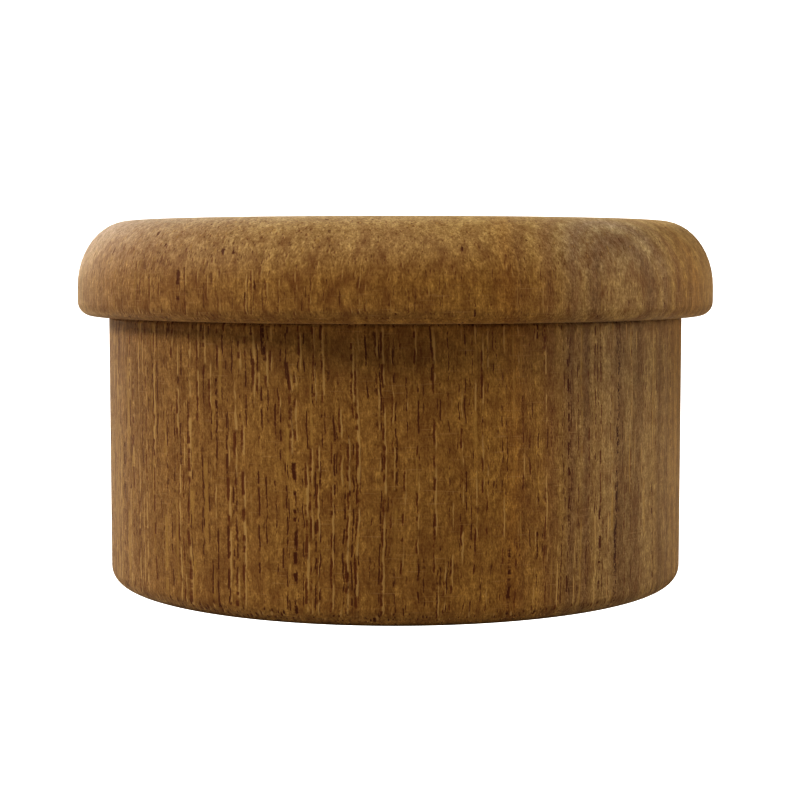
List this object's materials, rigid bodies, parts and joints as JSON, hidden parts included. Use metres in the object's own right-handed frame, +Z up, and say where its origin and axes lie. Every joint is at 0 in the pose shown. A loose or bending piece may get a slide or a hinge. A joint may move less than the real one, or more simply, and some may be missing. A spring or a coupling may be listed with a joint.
{
  "type": "needle case",
  "caption": "Round turned-wood needle case: a small cup and a wide rounded lid that plugs into it, with magnets under felt and sewing needles inside.",
  "frame": {"origin": "centre of the foot, on the surface that the case stands on", "axes": "+Z up along the turning axis, -Y towards the front, +X to the right"},
  "size_m": [0.0554, 0.0554, 0.0313],
  "materials": {
    "turned_teak": "sanded and oiled, matte",
    "magnet_nickel": "nickel plated, bright",
    "wool_felt": "pressed wool felt, moss green",
    "needle_steel": "nickel-plated steel, polished"
  },
  "bodies": {
    "case": {"case_body": "turned_teak", "base_magnet": "magnet_nickel", "base_felt": "wool_felt", "sharps": "needle_steel", "embroidery_needles": "needle_steel", "tapestry_needles": "needle_steel"},
    "lid": {"lid": "turned_teak", "lid_magnet": "magnet_nickel", "lid_felt": "wool_felt"}
  },
  "joints": [
    {"name": "lid_lift", "type": "slide", "parent": "case", "child": "lid", "axis": [0, 0, 1], "range_m": [0, 0.04]}
  ]
}
